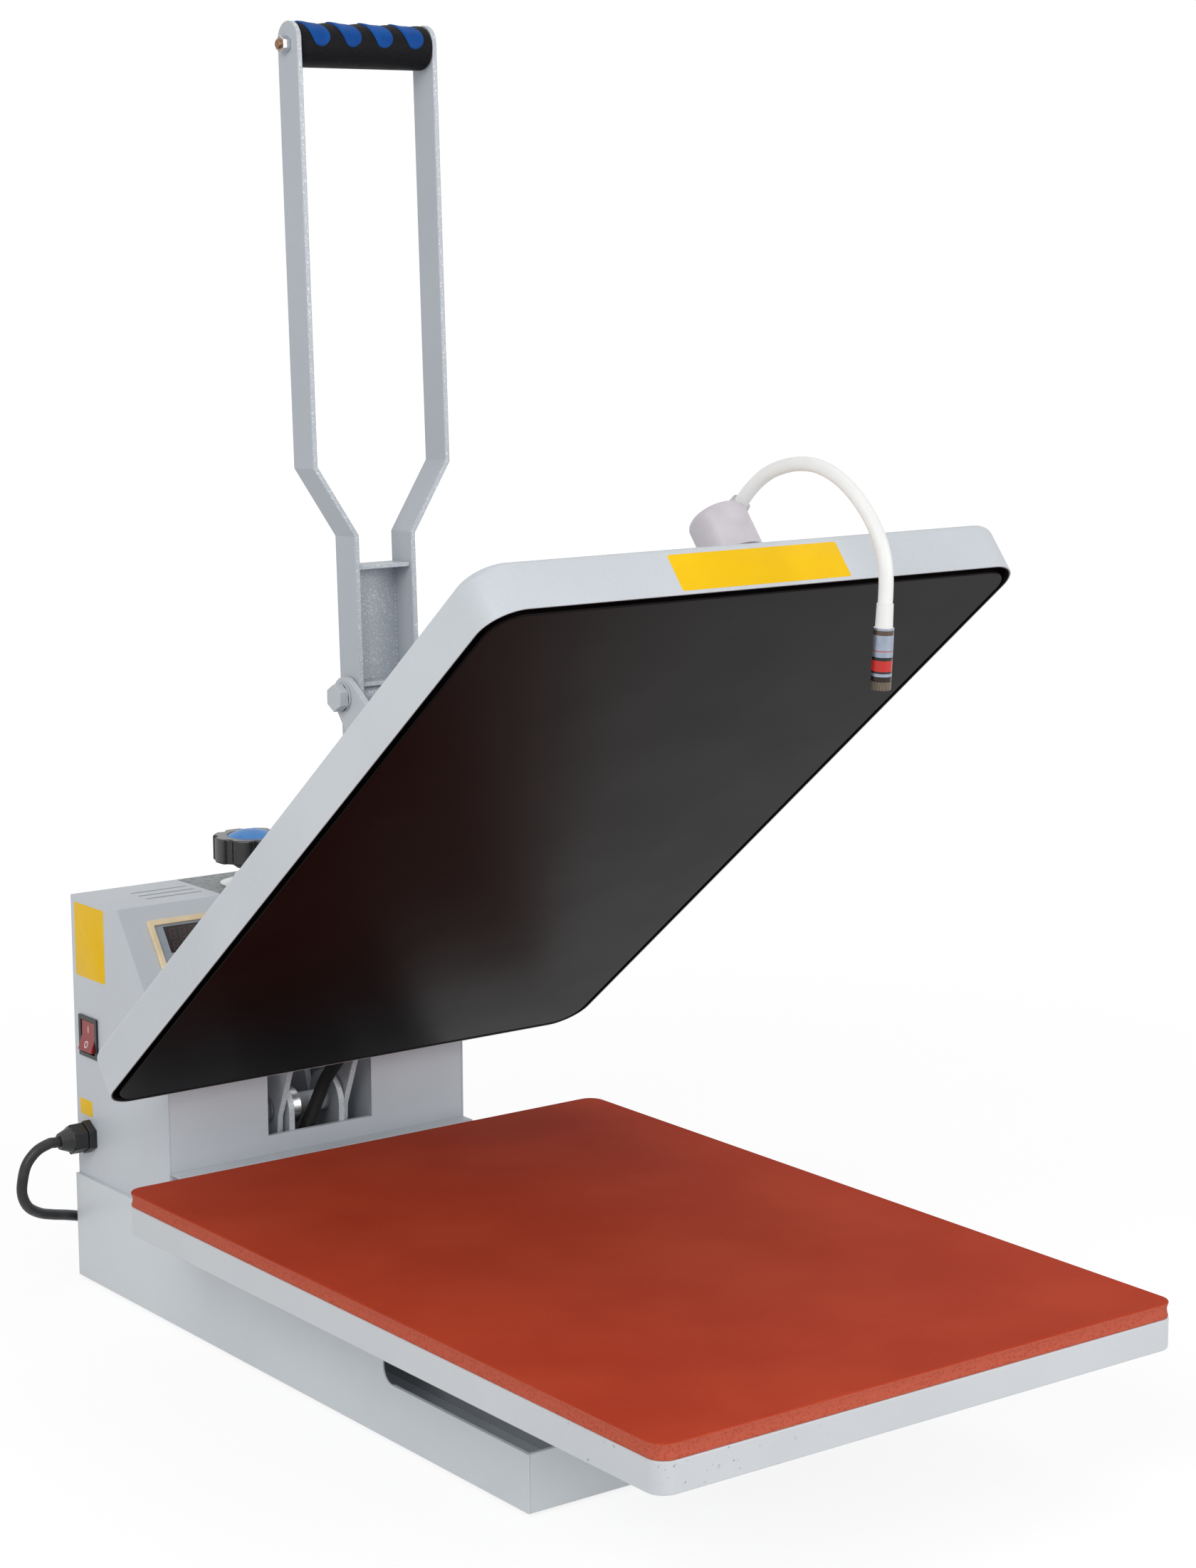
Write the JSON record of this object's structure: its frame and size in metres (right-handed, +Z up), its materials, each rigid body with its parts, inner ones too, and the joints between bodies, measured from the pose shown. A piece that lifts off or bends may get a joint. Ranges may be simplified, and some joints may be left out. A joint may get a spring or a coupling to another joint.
{
  "type": "dry mounting press",
  "caption": "Clamshell dry mounting heat press: sponge-padded lower platen, hinged hot platen with long toggle handle, pressure knob, column with controls, laser pointer.",
  "frame": {"origin": "on the floor, under the middle of the machine's box without its mains lead", "axes": "+X to the operator's right, +Y back towards the column, +Z up"},
  "size_m": [0.404, 0.9426, 0.9154],
  "materials": {
    "base_paint": "fine texture powder coat, satin",
    "foot_rubber": "matt",
    "zinc_bolts": "zinc plated",
    "rail_paint": "satin powder coat",
    "platen_enamel": "orange-peel paint over cast aluminium",
    "sponge_silicone": "matt closed-cell sponge",
    "frame_paint": "satin powder coat",
    "zinc_steel": "zinc plated",
    "ground_steel": "ground",
    "cover_paint": "fine texture powder coat, satin",
    "dark_hammertone": "dark hammertone",
    "turned_boss": "turned",
    "cream_plastic": "fine texture",
    "grey_panel": "printed film",
    "display_lens": "smoked",
    "board_green": "circuit board",
    "relay_plastic": "moulded",
    "black_plastic": "moulded, semi-gloss",
    "red_rocker": "moulded, glossy",
    "key_plastic": "moulded",
    "cord_rubber": "satin sheath",
    "knob_plastic": "moulded, glossy",
    "blue_plastic": "moulded, satin",
    "arm_paint": "powder coat over laser-cut plate",
    "casing_paint": "fine texture powder coat, satin",
    "coated_plate": "non-stick coating, satin",
    "glass_wool": "felted",
    "painted_bolt": "painted over",
    "satin_mauve": "satin",
    "white_sleeve": "smooth sleeve",
    "laser_metal": "foil wrap",
    "knurled_brass": "blackened, knurled",
    "handle_paint": "powder coat over laser-cut bar",
    "grip_foam": "foam",
    "chrome_nut": "plated"
  },
  "bodies": {
    "frame": {"base_tray": "base_paint", "base_front_panel": "base_paint", "rubber_feet": "foot_rubber", "base_bolts": "zinc_bolts", "support_rails": "rail_paint", "lower_platen": "platen_enamel", "silicone_pad": "sponge_silicone", "frame_foot": "frame_paint", "upright_left": "frame_paint", "upright_right": "frame_paint", "pressure_bridge": "zinc_steel", "frame_bolts": "zinc_bolts", "hinge_shaft": "ground_steel", "shaft_collars": "zinc_steel", "front_panel": "cover_paint", "front_ledge": "cover_paint", "cover_left": "cover_paint", "cover_right": "cover_paint", "rear_cover": "cover_paint", "cover_screws": "zinc_bolts", "top_plate": "dark_hammertone", "knob_boss": "turned_boss", "controller_bezel": "cream_plastic", "controller_face": "grey_panel", "display_window": "display_lens", "control_board": "board_green", "power_relay": "relay_plastic", "rocker_bezel": "black_plastic", "gland_body": "black_plastic", "gland_nut": "black_plastic", "power_cord": "cord_rubber", "cord_coil": "cord_rubber", "plug": "cord_rubber"},
    "adjuster": {"adjuster_block": "zinc_steel", "toggle_pin": "ground_steel"},
    "knob": {"pressure_spindle": "ground_steel", "knob_body": "knob_plastic", "knob_cap": "blue_plastic"},
    "link": {"toggle_link": "frame_paint"},
    "hot_platen": {"arm_left": "arm_paint", "arm_right": "arm_paint", "casing_cover": "casing_paint", "heating_plate": "coated_plate", "insulation_mat": "glass_wool", "plate_standoffs": "zinc_bolts", "heater_cable": "cord_rubber", "pivot_bolt": "painted_bolt", "laser_base": "satin_mauve"},
    "handle": {"handle_bar_left": "handle_paint", "handle_bar_right": "handle_paint", "handle_web": "handle_paint", "grip_foam": "grip_foam", "grip_bolt": "chrome_nut"},
    "pointer": {"gooseneck": "white_sleeve", "laser_module": "laser_metal"},
    "focus": {"focus_ring": "knurled_brass"},
    "rocker": {"rocker": "red_rocker"},
    "menu_key": {"button_menu": "key_plastic"},
    "up_key": {"button_up": "key_plastic"},
    "down_key": {"button_down": "key_plastic"}
  },
  "joints": [
    {"name": "platen_hinge", "type": "hinge", "parent": "frame", "child": "hot_platen", "pos_m": [0, 0.289, 0.138], "axis": [1, 0, 0], "range_deg": [0, 38.8]},
    {"name": "handle_hinge", "type": "hinge", "parent": "hot_platen", "child": "handle", "pos_m": [0, 0.17172, 0.45813], "axis": [1, 0, 0], "range_deg": [0, 49.28]},
    {"name": "link_hinge", "type": "hinge", "parent": "adjuster", "child": "link", "pos_m": [0, 0.354, 0.26], "axis": [1, 0, 0], "range_deg": [-4.91, 0]},
    {"name": "pressure_slide", "type": "slide", "parent": "frame", "child": "adjuster", "axis": [0, 0, 1], "range_m": [-0.004, 0.004]},
    {"name": "pressure_spin", "type": "hinge", "parent": "adjuster", "child": "knob", "pos_m": [0, 0.354, 0.3], "axis": [0, 0, 1], "range_deg": [-720, 720]},
    {"name": "pointer_swivel", "type": "hinge", "parent": "hot_platen", "child": "pointer", "pos_m": [0.014, -0.20971, 0.61571], "axis": [0.0897, -0.6848, 0.7232], "range_deg": [-40, 40]},
    {"name": "focus_turn", "type": "hinge", "parent": "pointer", "child": "focus", "pos_m": [0.0245, -0.325, 0.51633], "axis": [0, -0.0645, 0.9979], "range_deg": [-120, 120]},
    {"name": "power_rocker", "type": "hinge", "parent": "frame", "child": "rocker", "pos_m": [-0.1252, 0.379, 0.1895], "axis": [0, -1, 0], "range_deg": [0, 20]},
    {"name": "menu_press", "type": "slide", "parent": "frame", "child": "menu_key", "axis": [0, 0.8177, -0.5756], "range_m": [0, 0.0012], "stiffness_N_per_m": 400},
    {"name": "up_press", "type": "slide", "parent": "frame", "child": "up_key", "axis": [0, 0.8177, -0.5756], "range_m": [0, 0.0012], "stiffness_N_per_m": 400},
    {"name": "down_press", "type": "slide", "parent": "frame", "child": "down_key", "axis": [0, 0.8177, -0.5756], "range_m": [0, 0.0012], "stiffness_N_per_m": 400}
  ],
  "couplings": [
    {"joint": "handle_hinge", "follows": "platen_hinge", "ratio": 1.2675},
    {"joint": "link_hinge", "follows": "platen_hinge", "ratio": -0.12398},
    {"joint": "pressure_spin", "follows": "pressure_slide", "rad_per_m": 3141.5}
  ]
}
